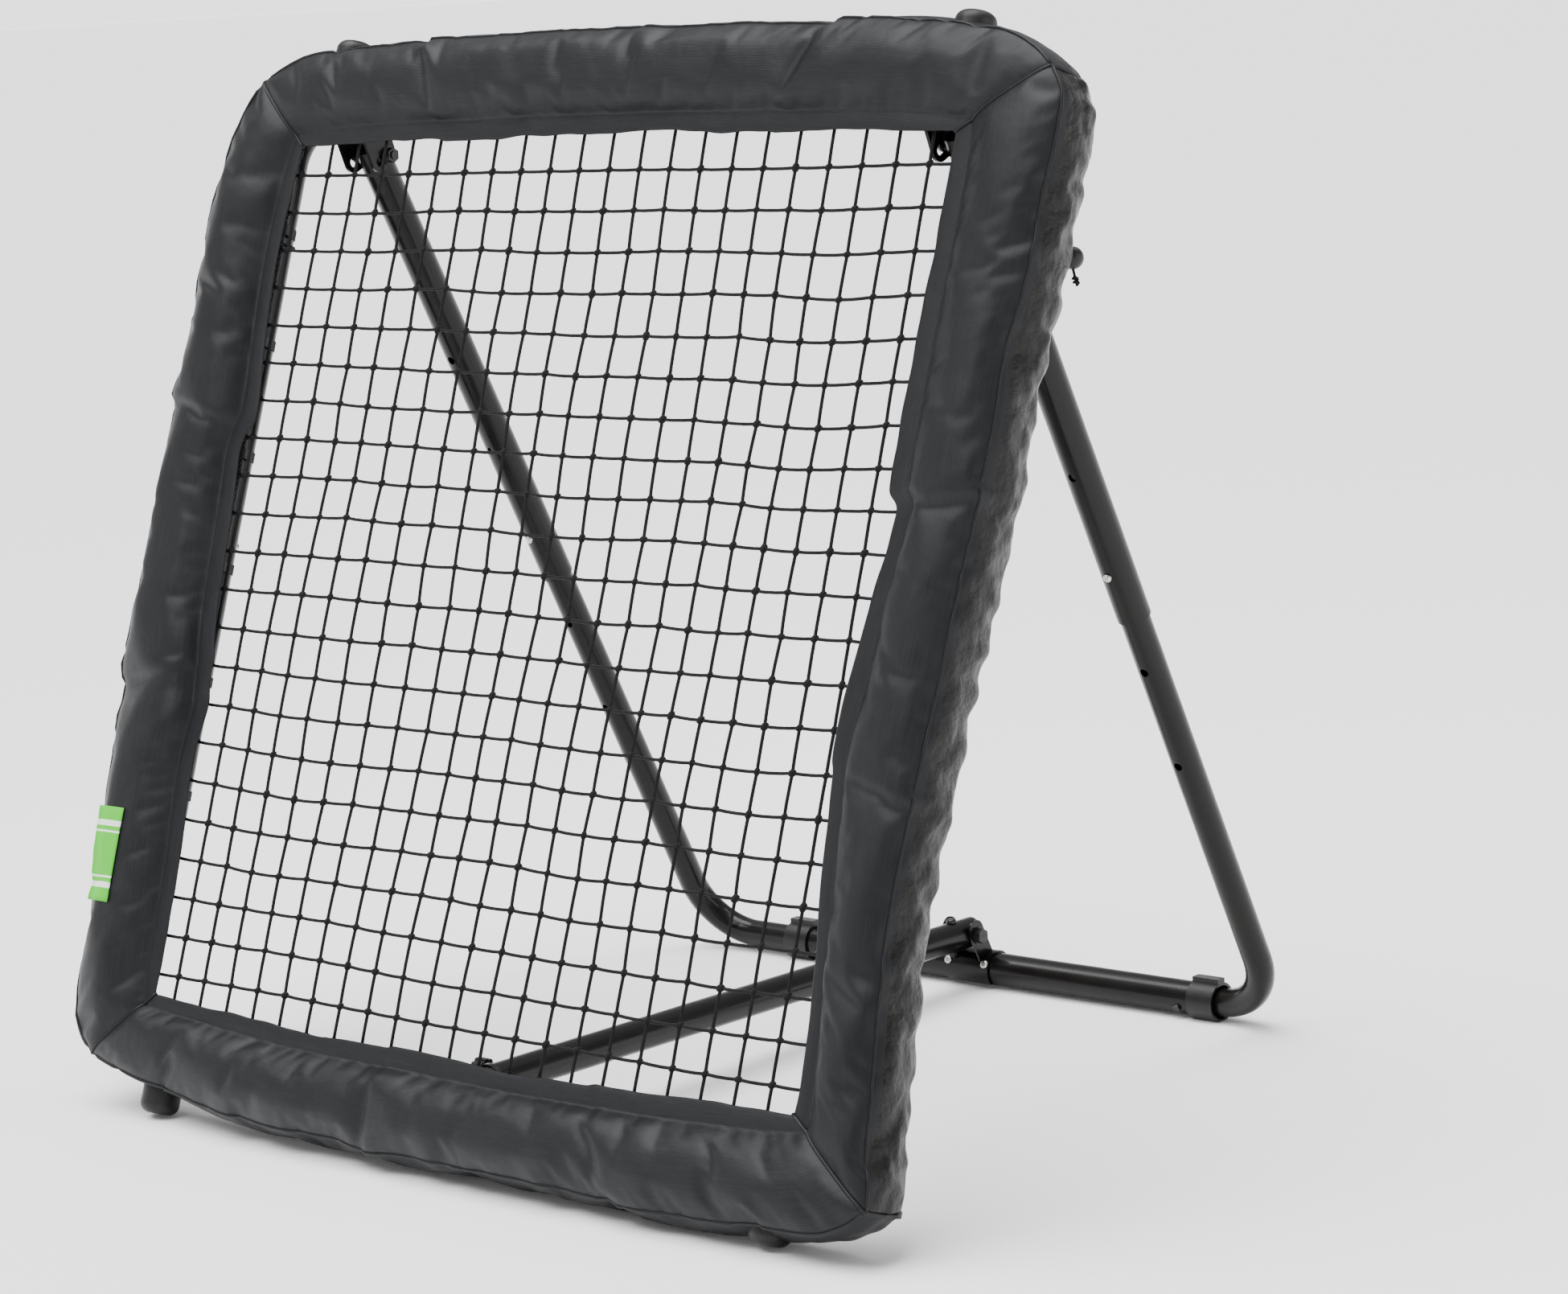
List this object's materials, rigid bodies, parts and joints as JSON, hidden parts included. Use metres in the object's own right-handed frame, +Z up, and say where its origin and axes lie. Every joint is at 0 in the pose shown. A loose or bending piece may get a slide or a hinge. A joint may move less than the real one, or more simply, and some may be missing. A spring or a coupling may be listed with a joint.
{
  "type": "pitch back rebounder",
  "caption": "Padded square net panel leaning on a telescoping floor strut and bent rear leg frame, with adjustable tilt",
  "frame": {"origin": "on the floor, at the centre of the bounding box's underside", "axes": "+Z up; the net's front faces -Y; +X to the right seen from the front"},
  "size_m": [1.27, 1.0258, 1.242],
  "materials": {
    "black_enamel": "gloss",
    "pvc_cover": "satin coated cloth",
    "net_cord": "braided",
    "elastic_cord": "braided",
    "black_rubber": "matt",
    "black_plastic": "satin",
    "zinc_steel": "bright plated",
    "black_steel": "black oxide",
    "green_tag": "woven label"
  },
  "bodies": {
    "strut_front": {"strut_collar": "black_enamel", "strut_inner_tube": "black_enamel", "strut_slide_bush": "black_plastic"},
    "front_panel": {"frame_upper": "black_enamel", "frame_lower": "black_enamel", "frame_joint_bolts": "zinc_steel", "frame_joint_nuts": "zinc_steel", "net": "net_cord", "net_border_rope": "net_cord", "net_ties": "net_cord", "pad_top": "pvc_cover", "pad_bottom": "pvc_cover", "pad_left": "pvc_cover", "pad_right": "pvc_cover", "pad_tag": "green_tag", "foot_cap_lower_left": "black_rubber", "foot_cap_lower_right": "black_rubber", "foot_cap_upper_left": "black_rubber", "foot_cap_upper_right": "black_rubber", "hinge_bracket_left": "black_enamel", "hinge_bracket_right": "black_enamel", "pad_toggle_left": "black_plastic", "pad_toggle_right": "black_plastic", "pad_toggle_loops": "elastic_cord", "collar_stop_rings": "black_enamel"},
    "strut_rear": {"strut_outer_tube": "black_enamel", "strut_mouth_bush": "black_plastic", "strut_end_bolt": "black_steel", "strut_end_nut": "black_steel", "lock_housing": "black_enamel"},
    "lock_pin": {"lock_pin": "zinc_steel", "lock_knob": "black_plastic"},
    "rear_frame": {"cross_tube": "black_enamel", "cross_joint_screws": "black_steel", "leg_left": "black_enamel", "leg_right": "black_enamel", "floor_collar_left": "black_plastic", "floor_collar_right": "black_plastic", "strut_bracket": "black_enamel", "bracket_bolts": "zinc_steel", "bracket_nuts": "zinc_steel", "pivot_bolt": "black_steel", "pivot_nut": "black_steel", "pivot_washers": "black_steel", "button_spring_left": "zinc_steel", "button_spring_right": "zinc_steel"},
    "leg_sleeve_left": {"leg_sleeve_left": "black_enamel", "hinge_bolt_left": "black_steel", "hinge_nut_left": "black_steel", "hinge_washers_left": "black_steel"},
    "leg_button_left": {"leg_button_left": "zinc_steel"},
    "leg_sleeve_right": {"leg_sleeve_right": "black_enamel", "hinge_bolt_right": "black_steel", "hinge_nut_right": "black_steel", "hinge_washers_right": "black_steel"},
    "leg_button_right": {"leg_button_right": "zinc_steel"}
  },
  "joints": [
    {"name": "panel_tilt", "type": "hinge", "parent": "strut_front", "child": "front_panel", "pos_m": [0, -0.44163, 0.09115], "axis": [-1, 0, 0], "range_deg": [0, 20]},
    {"name": "strut_slide", "type": "slide", "parent": "strut_front", "child": "strut_rear", "axis": [0, 0.9997, -0.0225], "range_m": [0, 0.598]},
    {"name": "leg_swing", "type": "hinge", "parent": "strut_rear", "child": "rear_frame", "pos_m": [0, 0.46421, 0.07076], "axis": [1, 0, 0], "range_deg": [0, 16.9]},
    {"name": "leg_slide_left", "type": "slide", "parent": "rear_frame", "child": "leg_sleeve_left", "axis": [0, -0.4337, 0.9011], "range_m": [-0.268, 0]},
    {"name": "leg_slide_right", "type": "slide", "parent": "rear_frame", "child": "leg_sleeve_right", "axis": [0, -0.4337, 0.9011], "range_m": [-0.268, 0]},
    {"name": "leg_button_left_press", "type": "slide", "parent": "leg_sleeve_left", "child": "leg_button_left", "axis": [0, 0.9011, 0.4337], "range_m": [0, 0.004], "stiffness_N_per_m": 800, "springref_m": -0.004},
    {"name": "leg_button_right_press", "type": "slide", "parent": "leg_sleeve_right", "child": "leg_button_right", "axis": [0, 0.9011, 0.4337], "range_m": [0, 0.004], "stiffness_N_per_m": 800, "springref_m": -0.004},
    {"name": "lock_pin_pull", "type": "slide", "parent": "strut_rear", "child": "lock_pin", "axis": [-1, 0, 0], "range_m": [0, 0.008], "stiffness_N_per_m": 1200, "springref_m": -0.005}
  ],
  "couplings": [
    {"joint": "strut_slide", "follows": "panel_tilt", "m_per_rad": 1.7116},
    {"joint": "leg_swing", "follows": "panel_tilt", "ratio": 0.8428},
    {"joint": "leg_slide_right", "follows": "leg_slide_left", "ratio": 1}
  ]
}
